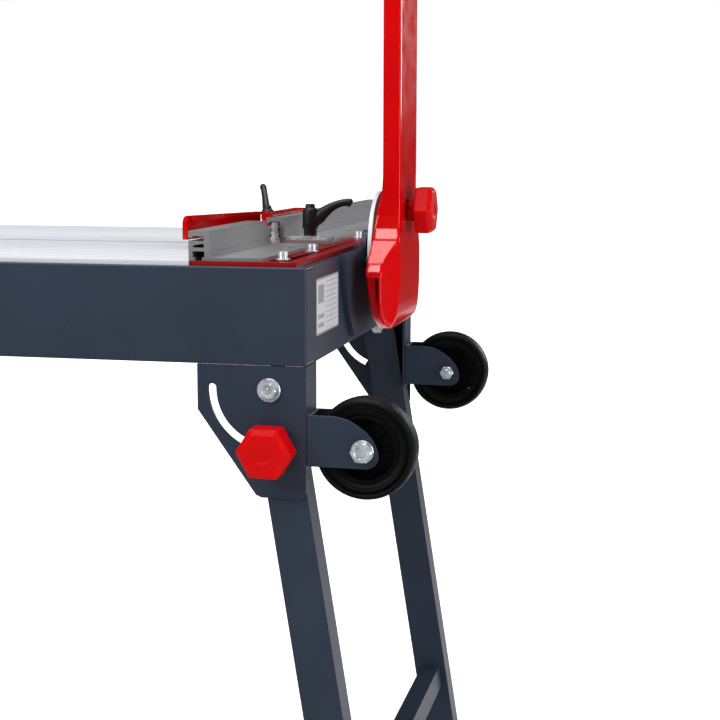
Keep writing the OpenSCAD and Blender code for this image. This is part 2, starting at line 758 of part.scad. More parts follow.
// Plastic pads between the carriage and the beam
module glides() {
    b = beam_w / 2;
    pad = 30;
    color(black) at_carriage() for (x = [-car_half + 8, car_half - 8 - pad]) {
        for (z = [beam_z + 4, beam_z + beam_h - 17]) for (s = [0, 1]) mirror([0, s, 0])
            box([x, b + 0.2, z], [x + pad, b + 2.48, z + 12.5]);
        for (z = [beam_z - 2.48, beam_z + beam_h + 0.2]) box([x, -b + 4, z], [x + pad, b - 4, z + 2.28]);
    }
}
// Travel lock knob on the front of the carriage
module carriage_knob() {
    color(red) at_carriage() translate([0, -car_y - 6, beam_z + beam_h / 2]) {
        rod_y(9, -5, -0.4);
        hex_y(38, -22, -4.5);
        rod_y(4, -6, 18);
    }
}

// Cutting head ----------------------------------------------------------------------------

collar_x0 = -176;
collar_x1 = -116;
// Casting: a collar on the guide post and the plate that carries the motor
module head() {
    color(dark) at_carriage() difference() {
        union() {
            box([collar_x0, -30, 188], [collar_x1, 30, 250]);
            slab_y(15, 21) union() {
                translate([0, blade_z]) circle(r = 52);
                translate([collar_x1 - 4, blade_z - 12]) square([130, 84]);
                translate([0, 176]) square([74, 46]);
            }
            translate([-146, -29, 219]) rod_y(15, -7, 0);
        }
        box([post_x0 - 0.3, -16.3, 100], [post_x1 + 0.3, 16.3, 260]);
        translate([0, 0, blade_z]) rod_y(hub_r + run_gap, 0, 40);
        translate([-146, 0, 219]) rod_y(4 + run_gap, -45, -16);
    }
}
// Depth lock knob on the collar
module plunge_knob() {
    color(red) at_carriage() translate([-146, -36, 219]) {
        rod_y(9, -5, -0.4);
        hex_y(38, -22, -4.5);
        rod_y(4, -6, 18.5);
    }
}
// Motor body with cooling ribs, end cap and cord gland
module motor() {
    color(black) at_carriage() translate([0, 0, blade_z]) difference() {
        union() {
            rod_y(46, 21.05, 40);
            rod_y(42, 39, 150);
            for (y = [50:8:130]) rod_y(45, y, y + 3.5);
            rod_y(45, 140, 152);
            rod_y(38, 151, 164);
            translate([0, 156, 30]) cylinder(r = 8, h = 22);
            // terminal box on top
            box([-24, 60, 36], [24, 132, 62]);
        }
        translate([0, 156, 40]) cylinder(r = 4.5, h = 20);
        for (a = [0:30:330]) rotate([0, a, 0]) box([18, 161, -2.5], [34, 166, 2.5]);
        rod_y(hub_r + 1, 20, 24);
    }
}
// Guard over the upper part of the blade
module guard_outline(r, low) {
    intersection() {
        union() {
            circle(r = r, $fn = 128);
            translate([-r, -40]) square([2 * r, 40]);
        }
        translate([-150, low]) square([300, 300]);
    }
}
module blade_guard() {
    color(red) at_carriage() translate([0, 0, blade_z]) difference() {
        slab_y(-16, 14.7) guard_outline(112, -26);
        slab_y(-13.5, 12.5) guard_outline(109.5, -30);
        // opening in front of the clamping nut, closed at its edge
        rod_y(19, -20, -5);
        rod_y(34, 5, 16);
    }
}
// Diamond blade with a slightly thicker rim
module blade() {
    color(zinc) at_carriage() translate([0, 0, blade_z]) difference() {
        union() {
            rod_y(blade_r - 7, -0.9, 0.9);
            rotate([90, 0, 0]) rotate_extrude($fn = 128) polygon([[blade_r - 8, -1.2], [blade_r, -1.2],
                [blade_r, 1.2], [blade_r - 8, 1.2]]);
        }
        rod_y(12.7, -3, 3);
        for (a = [0:45:315]) rotate([0, a, 0]) translate([62, 0, 0]) rod_y(6, -3, 3);
    }
}
// Spindle with its two flanges and clamping nut
module spindle() {
    color(zinc) at_carriage() translate([0, 0, blade_z]) {
        rod_y(28, 1.0, 5);
        difference() { rod_y(28, -5, -1.0); rod_y(24, -6, -4.2); }
        rod_y(12.65, -1.1, 1.1);
        rod_y(hub_r, -18, 22);
        rod_y(14, 4, 12);
        hex_y(24, -12, -4.1);
    }
}
// Closed hand grip beside the motor
module handle() {
    color(black) at_carriage() difference() {
        slab_y(21.05, 49) difference() {
            polygon([[56, 166], [56, 216], [68, 232], [84, 240], [164, 240], [175, 234], [180, 222],
                [180, 174], [173, 162], [162, 156], [66, 156]]);
            polygon([[80, 182], [80, 206], [88, 214], [152, 214], [158, 208], [158, 182], [152, 176],
                [86, 176]]);
        }
        // pocket for the trigger
        box([96, 28.5, 200], [140, 41.5, 226]);
    }
}
module trigger() {
    color(red) at_carriage() box([97, 29, 208], [139, 41, 219]);
}

// Parts list ------------------------------------------------------------------------------

frame_front();
frame_back();
frame_right();
frame_left();
cross_rails();
water_tray();
drain_plug();
table_front();
table_back();
end_plate_right();
end_plate_left();
table_screws();
fence_near();
fence_far();
fence_strap();
strap_bolt();
fence_lever();
stop_body();
stop_arm();
stop_lever();
leg_bracket_rf();
leg_bracket_rb();
leg_bracket_lf();
leg_bracket_lb();
wheel_forks();
stand_bolts();
tyre_front();
hub_front();
tyre_back();
hub_back();
legs_right();
feet_right();
legs_left();
feet_left();
leg_knob_rf();
leg_knob_rb();
leg_knob_lf();
leg_knob_lb();
rating_plate();
tilt_bracket_right();
tilt_bracket_left();
sector_right();
sector_left();
arm_right();
arm_left();
arm_knob_right();
arm_knob_left();
bridge_screws();
beam();
carriage();
glides();
carriage_knob();
head();
plunge_knob();
motor();
blade_guard();
blade();
spindle();
handle();
trigger();
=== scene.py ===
import json
import math
import bmesh
import bpy
from mathutils import Matrix, Vector


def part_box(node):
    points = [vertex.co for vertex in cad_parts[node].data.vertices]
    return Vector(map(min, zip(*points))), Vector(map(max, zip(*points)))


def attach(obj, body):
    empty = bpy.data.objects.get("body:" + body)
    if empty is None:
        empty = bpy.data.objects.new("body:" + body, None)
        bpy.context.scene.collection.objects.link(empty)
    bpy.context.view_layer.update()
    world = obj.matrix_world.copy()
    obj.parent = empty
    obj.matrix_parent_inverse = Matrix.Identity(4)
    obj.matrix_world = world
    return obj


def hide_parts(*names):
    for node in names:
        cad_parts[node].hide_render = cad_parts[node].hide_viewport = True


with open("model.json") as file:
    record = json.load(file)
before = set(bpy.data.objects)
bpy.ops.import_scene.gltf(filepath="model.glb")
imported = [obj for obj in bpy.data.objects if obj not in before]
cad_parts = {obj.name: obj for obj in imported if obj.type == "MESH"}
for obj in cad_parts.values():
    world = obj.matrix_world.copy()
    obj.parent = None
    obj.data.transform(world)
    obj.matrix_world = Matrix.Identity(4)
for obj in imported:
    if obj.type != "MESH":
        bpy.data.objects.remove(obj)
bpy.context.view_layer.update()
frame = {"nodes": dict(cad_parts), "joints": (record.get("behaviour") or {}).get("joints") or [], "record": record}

N = frame["nodes"]

# sockets of a colour Mix node
FACTOR, COLOR_A, COLOR_B, COLOR_OUT = 0, 6, 7, 2


# ---------------------------------------------------------------- materials

class Mat:
    """A principled material with small helpers for its procedural detail."""

    def __init__(self, name, color, rough=0.5, metal=0.0, spec=0.5):
        self.m = bpy.data.materials.new(name)
        self.m.use_nodes = True
        self.nt = self.m.node_tree
        self.b = self.nt.nodes["Principled BSDF"]
        s = self.b.inputs
        s["Base Color"].default_value = (*color, 1)
        s["Roughness"].default_value = rough
        s["Metallic"].default_value = metal
        s["Specular IOR Level"].default_value = spec
        self.m.diffuse_color = (*color, 1)
        self.tc = self.nt.nodes.new("ShaderNodeTexCoord")
        self.height = None

    def new(self, kind, **values):
        n = self.nt.nodes.new("ShaderNode" + kind)
        for k, v in values.items():
            if k in n.inputs:
                n.inputs[k].default_value = v
            else:
                setattr(n, k, v)
        return n

    def link(self, a, b):
        self.nt.links.new(a, b)

    def coords(self, scale):
        m = self.new("Mapping")
        m.inputs["Scale"].default_value = scale
        self.link(self.tc.outputs["Object"], m.inputs["Vector"])
        return m.outputs["Vector"]

    def noise(self, scale, detail=3, rough=0.55, stretch=(1, 1, 1)):
        n = self.new("TexNoise", Scale=scale, Detail=detail, Roughness=rough)
        self.link(self.coords(stretch), n.inputs["Vector"])
        return n.outputs["Fac"]

    def spread(self, fac, lo, hi, a=0.3, b=0.7):
        """Maps the range a to b onto lo to hi."""
        r = self.new("MapRange")
        r.inputs["From Min"].default_value = a
        r.inputs["From Max"].default_value = b
        r.inputs["To Min"].default_value = lo
        r.inputs["To Max"].default_value = hi
        self.link(fac, r.inputs["Value"])
        return r.outputs["Result"]

    def tint(self, fac, stops):
        """Base colour from a ramp of (position, colour) stops."""
        r = self.new("ValToRGB")
        e = r.color_ramp.elements
        while len(e) < len(stops):
            e.new(0.5)
        for el, (p, c) in zip(e, stops):
            el.position = p
            el.color = (*c, 1)
        self.link(fac, r.inputs["Fac"])
        self.link(r.outputs["Color"], self.b.inputs["Base Color"])

    def roughness(self, fac, lo, hi):
        self.link(self.spread(fac, lo, hi), self.b.inputs["Roughness"])

    def bump(self, fac, strength, distance):
        """Adds a layer of relief over the ones before it."""
        n = self.new("Bump", Strength=strength, Distance=distance)
        self.link(fac, n.inputs["Height"])
        if self.height is not None:
            self.link(self.height, n.inputs["Normal"])
        self.height = n.outputs["Normal"]
        self.link(self.height, self.b.inputs["Normal"])


def shade(c, k):
    """The colour c, k times as bright."""
    return tuple(min(1, v * k) for v in c)


def dark_paint():
    c = (0.0158, 0.0250, 0.0435)
    m = Mat("dark_paint", c, rough=0.42, spec=0.32)
    grain = m.noise(900, 2, 0.6)
    patch = m.noise(9, 3, 0.5)
    m.tint(patch, [(0.3, shade(c, 0.90)), (0.7, shade(c, 1.12))])
    m.roughness(grain, 0.36, 0.52)
    m.bump(grain, 0.35, 0.0004)
    m.bump(m.noise(260, 2, 0.5), 0.12, 0.0006)
    return m.m


def red_gloss():
    c = (0.46, 0.0004, 0.0010)
    m = Mat("red_gloss", c, rough=0.20, spec=0.35)
    patch = m.noise(14, 2, 0.5)
    m.tint(patch, [(0.3, shade(c, 0.94)), (0.7, shade(c, 1.05))])
    m.roughness(m.noise(60, 3), 0.10, 0.17)
    m.bump(m.noise(120, 2, 0.5), 0.03, 0.0006)
    return m.m


def red_satin():
    c = (0.20, 0.0004, 0.0010)
    m = Mat("red_satin", c, rough=0.36, spec=0.25)
    m.tint(m.noise(14, 2, 0.5), [(0.3, shade(c, 0.92)), (0.7, shade(c, 1.08))])
    m.roughness(m.noise(90, 3), 0.30, 0.42)
    m.bump(m.noise(140, 2, 0.5), 0.05, 0.0005)
    return m.m


def red_plastic():
    c = (0.43, 0.0004, 0.0012)
    m = Mat("red_plastic", c, rough=0.38, spec=0.07)
    m.tint(m.noise(40, 2), [(0.3, shade(c, 0.93)), (0.7, shade(c, 1.04))])
    m.roughness(m.noise(500, 2), 0.32, 0.46)
    m.bump(m.noise(1400, 2), 0.12, 0.0002)
    return m.m


def aluminium(name="aluminium", along=0, c=(0.56, 0.58, 0.61), lo=0.42, hi=0.56, metal=0.12):
    """Extruded aluminium with fine lines along the given axis; lo and hi are its roughness."""
    m = Mat(name, c, rough=0.33, metal=metal, spec=0.2)
    stretch = [900, 900, 900]
    stretch[along] = 6
    lines = m.noise(1.0, 2, 0.6, tuple(stretch))
    m.tint(lines, [(0.3, shade(c, 0.92)), (0.7, shade(c, 1.05))])
    m.roughness(lines, lo, hi)
    m.bump(lines, 0.10, 0.00008)
    m.bump(m.noise(30, 2), 0.05, 0.0004)
    return m.m


def zinc():
    m = Mat("zinc", (0.55, 0.59, 0.62), rough=0.3, metal=0.55)
    m.tint(m.noise(120, 3, 0.5),
           [(0.36, (0.40, 0.43, 0.46)), (0.50, (0.56, 0.60, 0.63)), (0.66, (0.72, 0.76, 0.79))])
    m.roughness(m.noise(200, 3), 0.20, 0.34)
    m.bump(m.noise(260, 2), 0.08, 0.0002)
    return m.m


def black_plastic(name="black_plastic", c=(0.0075, 0.0075, 0.0085), spec=0.35):
    m = Mat(name, c, rough=0.42, spec=spec)
    m.tint(m.noise(80, 2), [(0.3, shade(c, 0.8)), (0.7, shade(c, 1.3))])
    m.roughness(m.noise(900, 2), 0.38, 0.55)
    m.bump(m.noise(2200, 2), 0.25, 0.00015)
    return m.m


def rubber(name="rubber", c=(0.0075, 0.0075, 0.008), rough=0.60, spec=0.22):
    m = Mat(name, c, rough=rough, spec=spec)
    m.tint(m.noise(60, 4), [(0.3, shade(c, 0.75)), (0.7, shade(c, 1.45))])
    m.roughness(m.noise(220, 3), rough - 0.10, rough + 0.12)
    m.bump(m.noise(1500, 3), 0.3, 0.0002)
    return m.m


def blade_steel():
    """Steel with turned rings about the blade's centre and a darker band at the teeth."""
    c = (0.52, 0.52, 0.53)
    m = Mat("blade_steel", c, rough=0.3, metal=1.0)
    sub = m.new("VectorMath", operation="SUBTRACT")
    sub.inputs[1].default_value = tuple((a + b) / 2 for a, b in zip(*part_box("blade")))
    m.link(m.tc.outputs["Object"], sub.inputs[0])
    radius = m.new("VectorMath", operation="LENGTH")
    m.link(sub.outputs["Vector"], radius.inputs[0])
    mul = m.new("Math", operation="MULTIPLY")
    mul.inputs[1].default_value = 1600
    m.link(radius.outputs["Value"], mul.inputs[0])
    comb = m.new("CombineXYZ")
    m.link(mul.outputs["Value"], comb.inputs["X"])
    rings = m.new("TexNoise", Scale=1.0, Detail=3)
    m.link(comb.outputs["Vector"], rings.inputs["Vector"])
    m.roughness(rings.outputs["Fac"], 0.2, 0.42)
    m.tint(radius.outputs["Value"], [(0.0, c), (0.0918, (0.50, 0.50, 0.51)), (0.0926, (0.30, 0.27, 0.22))])
    m.bump(rings.outputs["Fac"], 0.08, 0.0001)
    return m.m


def label():
    """Pale plate with plain ruled rows and boxes, and no lettering."""
    plate, ink = (0.46, 0.475, 0.50), (0.10, 0.105, 0.115)
    m = Mat("label", plate, rough=0.35, spec=0.5)
    lo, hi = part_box("rating_plate")
    sub = m.new("VectorMath", operation="SUBTRACT")
    sub.inputs[1].default_value = tuple(lo)
    m.link(m.tc.outputs["Object"], sub.inputs[0])
    mul = m.new("VectorMath", operation="MULTIPLY")
    mul.inputs[1].default_value = (1, 1 / (hi[1] - lo[1]), 1 / (hi[2] - lo[2]))
    m.link(sub.outputs["Vector"], mul.inputs[0])
    sep = m.new("SeparateXYZ")
    m.link(mul.outputs["Vector"], sep.inputs["Vector"])
    y, z = sep.outputs["Y"], sep.outputs["Z"]

    def calc(op, *values):
        n = m.new("Math", operation=op)
        for i, v in enumerate(values):
            if isinstance(v, (int, float)):
                n.inputs[i].default_value = v
            else:
                m.link(v, n.inputs[i])
        return n.outputs["Value"]

    def band(v, a, b):
        return calc("MULTIPLY", calc("GREATER_THAN", v, a), calc("LESS_THAN", v, b))

    def block(y0, y1, z0, z1):
        """1 inside a rectangle given in fractions of the plate, 0 outside."""
        return calc("MULTIPLY", band(y, y0, y1), band(z, z0, z1))

    rows = calc("GREATER_THAN", calc("FRACT", calc("MULTIPLY", z, 11.0)), 0.80)
    printed = calc("MULTIPLY", rows, block(0.42, 0.95, 0.08, 0.93))
    for y0, y1, z0, z1 in ((0.675, 0.685, 0.08, 0.93), (0.08, 0.34, 0.55, 0.88), (0.08, 0.34, 0.12, 0.20),
                           (0.08, 0.34, 0.28, 0.36)):
        printed = calc("MAXIMUM", printed, block(y0, y1, z0, z1))
    border = calc("SUBTRACT", 1.0, block(0.02, 0.98, 0.035, 0.965))
    printed = calc("MAXIMUM", printed, border)
    mix = m.new("Mix", data_type="RGBA")
    mix.inputs[COLOR_A].default_value = (*plate, 1)
    mix.inputs[COLOR_B].default_value = (*ink, 1)
    m.link(calc("MULTIPLY", printed, 0.62), mix.inputs[FACTOR])
    m.link(mix.outputs[COLOR_OUT], m.b.inputs["Base Color"])
    m.roughness(m.noise(300, 2), 0.28, 0.42)
    return m.m


MATS = {
    "dark_paint": dark_paint(),
    "red_gloss": red_gloss(),
    "red_satin": red_satin(),
    "red_plastic": red_plastic(),
    "aluminium": aluminium(),
    "alu_y": aluminium("aluminium_fence", along=1, c=(0.205, 0.213, 0.222), lo=0.32, hi=0.46,
                       metal=0.35),
    "zinc": zinc(),
    "black_plastic": black_plastic(),
    # a darker, less shiny copy of the black plastic: painted shade for the hubs, which sit in the shadow of the
    # wheel forks
    "hub_painted_shade_black": black_plastic("hub_painted_shade_black", (0.0022, 0.0022, 0.0026), 0.10),
    "rubber": rubber(),
    "tyre": rubber("tyre", (0.0026, 0.0029, 0.0034), 0.50, 0.12),
    "blade_steel": blade_steel(),
    "label": label(),
}


def paint(obj, name):
    obj.data.materials.clear()
    obj.data.materials.append(MATS[name])
    for p in obj.data.polygons:
        p.material_index = 0


# ------------------------------------------------------------------- finish

def round_edges(obj, width, segments):
    """Welds, cleans and bevels a CAD node's display mesh without changing the mesh itself."""
    w = obj.modifiers.new("weld", "WELD")
    w.merge_threshold = 0.00002
    d = obj.modifiers.new("planar", "DECIMATE")
    d.decimate_type = "DISSOLVE"
    d.angle_limit = math.radians(2)
    b = obj.modifiers.new("bevel", "BEVEL")
    b.width = width
    b.segments = segments
    b.limit_method = "ANGLE"
    b.angle_limit = math.radians(32)
    b.use_clamp_overlap = True
    b.harden_normals = False
    b.miter_outer = "MITER_ARC"


def soften(obj, voxel, steps):
    """Rounds a moulded or cast node all over: fine voxels, then smoothing."""
    r = obj.modifiers.new("voxels", "REMESH")
    r.mode = "VOXEL"
    r.voxel_size = voxel
    r.use_smooth_shade = True
    m = obj.modifiers.new("relax", "SMOOTH")
    m.factor = 0.5
    m.iterations = steps


SLOT_OF = {s["node"]: s["material_slot"] for s in frame["record"]["subparts"]}
# nodes whose finish differs from the usual one of their slot; the hubs' darker black is painted shade
FINISH_OF = {
    "fence_near": "alu_y", "fence_far": "alu_y",
    "end_plate_right": "red_satin", "end_plate_left": "red_satin",
    "hub_front": "hub_painted_shade_black", "hub_back": "hub_painted_shade_black",
}
for name, obj in N.items():
    paint(obj, FINISH_OF.get(name, SLOT_OF[name]))

# bevel width in metres, segments, and the nodes that get it
BEVELS = (
    (0.0050, 3, ("handle",)),
    (0.0030, 3, ("legs_right", "legs_left")),
    (0.0020, 3, ("feet_right", "feet_left", "head", "carriage")),
    (0.0018, 3, ("frame_front", "frame_back")),
    (0.0015, 2, ("motor",)),
    (0.0012, 2, ("frame_right", "frame_left", "blade_guard")),
    (0.0008, 2, ("stop_body", "stop_arm")),
    (0.0006, 2, ("bridge_screws", "wheel_forks", "end_plate_right", "end_plate_left")),
    (0.0004, 2, ("table_screws",)),
)
for width, segments, names in BEVELS:
    for name in names:
        round_edges(N[name], width, segments)

# voxel size in metres, smoothing steps, and the nodes that get them
SOFT_NODES = (
    (0.0015, 8, ("arm_right", "arm_left")),
    (0.0010, 7, ("leg_knob_rf", "leg_knob_rb", "leg_knob_lf", "leg_knob_lb", "arm_knob_right", "arm_knob_left",
                 "carriage_knob", "plunge_knob")),
)
for voxel, steps, names in SOFT_NODES:
    for name in names:
        soften(N[name], voxel, steps)


# ------------------------------------------------------------ modelled pieces

def make(name, bm, mat, smooth=40):
    """A new mesh piece from a bmesh, shaded smooth up to an angle."""
    me = bpy.data.meshes.new(name)
    bmesh.ops.recalc_face_normals(bm, faces=bm.faces)
    bm.to_mesh(me)
    bm.free()
    o = bpy.data.objects.new(name, me)
    bpy.context.scene.collection.objects.link(o)
    me.materials.append(MATS[mat])
    for p in me.polygons:
        p.use_smooth = True
    me.set_sharp_from_angle(angle=math.radians(smooth))
    return o


def lathe(bm, profile, steps, T, closed):
    """Turns (radius, height) points about the local Z axis; closed joins the last point to the first."""
    rings = []
    for r, z in profile:
        if r == 0:
            rings.append([bm.verts.new(T @ Vector((0, 0, z)))])
        else:
            rings.append([bm.verts.new(T @ Vector((r * math.cos(t), r * math.sin(t), z)))
                          for t in (2 * math.pi * k / steps for k in range(steps))])
    pairs = list(zip(rings, rings[1:]))
    if closed:
        pairs.append((rings[-1], rings[0]))
    for a, b in pairs:
        for k in range(steps):
            n = (k + 1) % steps
            if len(a) == 1:
                bm.faces.new((a[0], b[n], b[k]))
            elif len(b) == 1:
                bm.faces.new((a[k], a[n], b[0]))
            else:
                bm.faces.new((a[k], a[n], b[n], b[k]))


def sweep(bm, points, radii, side, steps):
    """A closed tube through points, with (across, up) radii at each; side is the across direction."""
    rings = []
    pts = [Vector(p) for p in points]
    side = Vector(side).normalized()
    for i, p in enumerate(pts):
        t = (pts[min(i + 1, len(pts) - 1)] - pts[max(i - 1, 0)]).normalized()
        u = t.cross(side).normalized()
        a, b = radii[i]
        rings.append([bm.verts.new(p + side * (a * math.cos(w)) + u * (b * math.sin(w)))
                      for w in (2 * math.pi * k / steps for k in range(steps))])
    for a, b in zip(rings, rings[1:]):
        for k in range(steps):
            n = (k + 1) % steps
            bm.faces.new((a[k], a[n], b[n], b[k]))
    bm.faces.new(rings[0][::-1])
    bm.faces.new(rings[-1])


def smooth_path(points, per=6):
    """Catmull-Rom points through the given tuples of any length."""
    out = []
    p = [points[0]] + list(points) + [points[-1]]
    for i in range(1, len(p) - 2):
        for k in range(per):
            t = k / per
            out.append(tuple(
                0.5 * (2 * b + (c - a) * t + (2 * a - 5 * b + 4 * c - d) * t * t
                       + (3 * b - a - 3 * c + d) * t ** 3)
                for a, b, c, d in zip(p[i - 1], p[i], p[i + 1], p[i + 2])))
    out.append(tuple(points[-1]))
    return out


def clamp_lever(name, node, body, hub, height, stud, turn, profile):
    """Moulded clamp lever: a turned hub, a curved arm and a steel stud below.

    The profile holds (reach, height, half width, half thickness) along the arm.
    """
    a = math.radians(turn)
    along = Vector((math.cos(a), math.sin(a), 0))
    across = Vector((-math.sin(a), math.cos(a), 0))
    # the hub's axis is the joint's own axis
    j = next(q for q in frame["joints"] if q["child"] == body)
    base = Vector((j["pos_m"][0], j["pos_m"][1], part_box(node)[0][2] + stud))
    T = Matrix.Translation(base)
    bm = bmesh.new()
    lathe(bm, [(0, 0.0), (hub - 0.0022, 0.0), (hub - 0.0016, 0.0006), (hub - 0.0016, 0.0075),
               (hub - 0.0004, 0.0085), (hub, 0.0098), (hub - 0.0004, height - 0.0075),
               (hub - 0.0010, height - 0.0055), (hub - 0.0032, height - 0.0043),
               (hub - 0.0036, height - 0.0012), (hub - 0.0044, height - 0.0002),
               (hub - 0.0056, height - 0.0002), (hub - 0.0058, height - 0.0014), (0, height - 0.0014)],
          40, T, closed=False)
    pts = smooth_path(profile)
    sweep(bm, [base + along * p[0] + Vector((0, 0, p[1])) for p in pts], [(p[2], p[3]) for p in pts], across, 24)
    lever = make(name, bm, "black_plastic", 50)
    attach(lever, body)
    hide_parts(node)
    bm = bmesh.new()
    lathe(bm, [(0, -stud), (0.0026, -stud), (0.003, -stud + 0.0005), (0.003, 0.001), (0, 0.001)],
          24, T, closed=False)
    pin = make(name + "_stud", bm, "zinc")
    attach(pin, body)


FENCE_ARM = [
    (0.0020, 0.0165, 0.0062, 0.0085), (0.0090, 0.0205, 0.0058, 0.0080), (0.0159, 0.0265, 0.0050, 0.0066),
    (0.0246, 0.0325, 0.0044, 0.0050), (0.0333, 0.0362, 0.0042, 0.0042), (0.0403, 0.0376, 0.0044, 0.0042),
    (0.0446, 0.0372, 0.0044, 0.0048), (0.0468, 0.0366, 0.0034, 0.0040), (0.0477, 0.0362, 0.0016, 0.0020),
]
STOP_ARM = [
    (0.002, 0.0125, 0.0055, 0.0068), (0.008, 0.0165, 0.0052, 0.0066), (0.014, 0.0230, 0.0046, 0.0058),
    (0.021, 0.0310, 0.0040, 0.0047), (0.028, 0.0385, 0.0038, 0.0040), (0.034, 0.0430, 0.0038, 0.0040),
    (0.039, 0.0452, 0.0040, 0.0042), (0.0425, 0.0450, 0.0032, 0.0036), (0.0435, 0.0446, 0.0014, 0.0018),
]
clamp_lever("fence_lever_body", "fence_lever", "fence_clamp", hub=0.009, height=0.036, stud=0.011,
            turn=12, profile=FENCE_ARM)
clamp_lever("stop_lever_body", "stop_lever", "stop_clamp", hub=0.008, height=0.025, stud=0.0125,
            turn=114, profile=STOP_ARM)


def tyre(name, node, body):
    """Moulded rubber tyre with raised rings on both side walls."""
    lo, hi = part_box(node)
    c = [(a + b) / 2 for a, b in zip(lo, hi)]
    w = (hi[1] - lo[1]) / 2
    r = (hi[2] - lo[2]) / 2
    half = [(0.0342, w - 0.0030), (0.0350, w - 0.0018), (0.0380, w - 0.0014), (0.0398, w - 0.0012)]
    for q in (0.0402, 0.0416, 0.0430):
        half += [(q, w - 0.0010), (q + 0.0003, w - 0.0016), (q + 0.0006, w - 0.0016), (q + 0.0009, w - 0.0006)]
    half += [(0.0445, w - 0.0002), (0.0452, w), (0.0464, w), (0.0468, w - 0.0008), (0.0474, w - 0.0009),
             (0.0478, w - 0.0018), (0.0488, w - 0.0036), (0.0495, w - 0.0058), (r - 0.0002, w - 0.0085),
             (r, w - 0.0110)]
    profile = half + [(p, -z) for p, z in reversed(half)]
    bm = bmesh.new()
    T = Matrix.Translation(c) @ Matrix.Rotation(math.radians(90), 4, "X")
    lathe(bm, profile, 128, T, closed=True)
    o = make(name, bm, "tyre", 50)
    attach(o, body)
    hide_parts(node)


def turned(bm, rings, T, steps=48):
    """Rings of (radius, height, across flats) about the local Z axis, closed at both ends.

    A ring with across flats is a hexagon of that size and its radius is not used; 0 makes it round.
    """
    loops = []
    for radius, z, flats in rings:
        loop = []
        for k in range(steps):
            a = 360.0 * k / steps
            q = flats / 2 / math.cos(math.radians(a % 60 - 30)) if flats else radius
            x, y = q * math.cos(math.radians(a)), q * math.sin(math.radians(a))
            loop.append(bm.verts.new(T @ Vector((x, y, z))))
        loops.append(loop)
    for a, b in zip(loops, loops[1:]):
        for k in range(steps):
            n = (k + 1) % steps
            bm.faces.new((a[k], a[n], b[n], b[k]))
    bm.faces.new(loops[0][::-1])
    bm.faces.new(loops[-1])


NUT_FLATS = 0.015
PIVOT_BOLT = {"washer": 0.0115, "w0": 0.00002, "w1": 0.002, "flats": 0.015, "h1": 0.008,
              "tail": -0.044, "nut0": -0.043, "nut1": -0.0356}
AXLE_BOLT = {"washer": 0.011, "w0": -0.00038, "w1": 0.0016, "flats": 0.019, "h1": 0.0086,
             "tail": -0.0496, "nut0": -0.0486, "nut1": -0.04062}


def bolt(bm, T, washer, w0, w1, flats, h1, tail, nut0, nut1):
    """Hexagon bolt along local Z: washer from w0 to w1, a dished head up to h1, shank down to the tail, nut."""
    turned(bm, [(washer - 0.0004, w0, 0), (washer, w0 + 0.0004, 0), (washer, w1 - 0.0005, 0),
                (washer - 0.0005, w1, 0)], T)
    e = flats / 2
    turned(bm, [(e - 0.0006, w1 - 0.0001, 0), (None, w1 + 0.0006, flats), (None, h1 - 0.0016, flats),
                (e * 0.96, h1 - 0.0002, 0), (e * 0.86, h1, 0), (e * 0.66, h1 - 0.0001, 0),
                (e * 0.58, h1 - 0.0011, 0), (e * 0.40, h1 - 0.0011, 0), (e * 0.32, h1 - 0.0007, 0),
                (e * 0.10, h1 - 0.0007, 0)], T)
    turned(bm, [(0.0042, tail, 0), (0.005, tail + 0.0008, 0), (0.005, w1, 0)], T)
    f = NUT_FLATS / 2
    turned(bm, [(f * 0.95, nut0, 0), (None, nut0 + 0.0010, NUT_FLATS), (None, nut1 - 0.0010, NUT_FLATS),
                (f * 0.95, nut1, 0)], T)


def stand_bolts():
    """The leg pivot bolts and axle bolts of the front and back panels, in one piece."""
    joint = {j["name"]: j["pos_m"] for j in frame["joints"] if j.get("pos_m")}
    y_front, y_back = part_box("frame_front")[0][1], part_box("frame_back")[1][1]
    bm = bmesh.new()
    for y, turn in ((y_front, 90), (y_back, -90)):
        R = Matrix.Rotation(math.radians(turn), 4, "X")
        for name, sizes in (("legs_a_fold", PIVOT_BOLT), ("legs_b_fold", PIVOT_BOLT), ("wheel_a_spin", AXLE_BOLT)):
            p = joint[name]
            bolt(bm, Matrix.Translation((p[0], y, p[2])) @ R, **sizes)
    o = make("stand_bolt_set", bm, "zinc", 30)
    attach(o, "frame")
    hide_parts("stand_bolts")


stand_bolts()
tyre("tyre_front_rubber", "tyre_front", "wheel_a")
tyre("tyre_back_rubber", "tyre_back", "wheel_b")


# ---------------------------------------------------------- camera and light

scene = bpy.context.scene
CAMERA_YAW, CAMERA_PITCH, CAMERA_ROLL = 12.496, 8.364, 0.088
# from the lower right corner of the front panel, in metres
CAMERA_PLACE = (0.35143, -1.34842, 0.21168)
SENSOR_WIDTH = 36
FOCAL_TO_WIDTH = 1483.46 / 720

yaw, pitch, roll = math.radians(CAMERA_YAW), math.radians(CAMERA_PITCH), math.radians(CAMERA_ROLL)
forward = Vector((-math.sin(yaw) * math.cos(pitch), math.cos(yaw) * math.cos(pitch), -math.sin(pitch)))
side = Vector((math.cos(yaw), math.sin(yaw), 0))
up = side.cross(forward)
right = side * math.cos(roll) + up * math.sin(roll)
top = up * math.cos(roll) - side * math.sin(roll)
cam_data = bpy.data.cameras.new("camera")
cam_data.sensor_width = SENSOR_WIDTH
cam_data.lens = SENSOR_WIDTH * FOCAL_TO_WIDTH
cam_data.clip_start = 0.05
cam = bpy.data.objects.new("camera", cam_data)
scene.collection.objects.link(cam)
lo_f, hi_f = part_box("frame_front")
cam.matrix_world = Matrix((
    (right.x, top.x, -forward.x, 0),
    (right.y, top.y, -forward.y, 0),
    (right.z, top.z, -forward.z, 0),
    (0, 0, 0, 1)))
cam.location = Vector((hi_f[0], lo_f[1], lo_f[2])) + Vector(CAMERA_PLACE)
scene.camera = cam

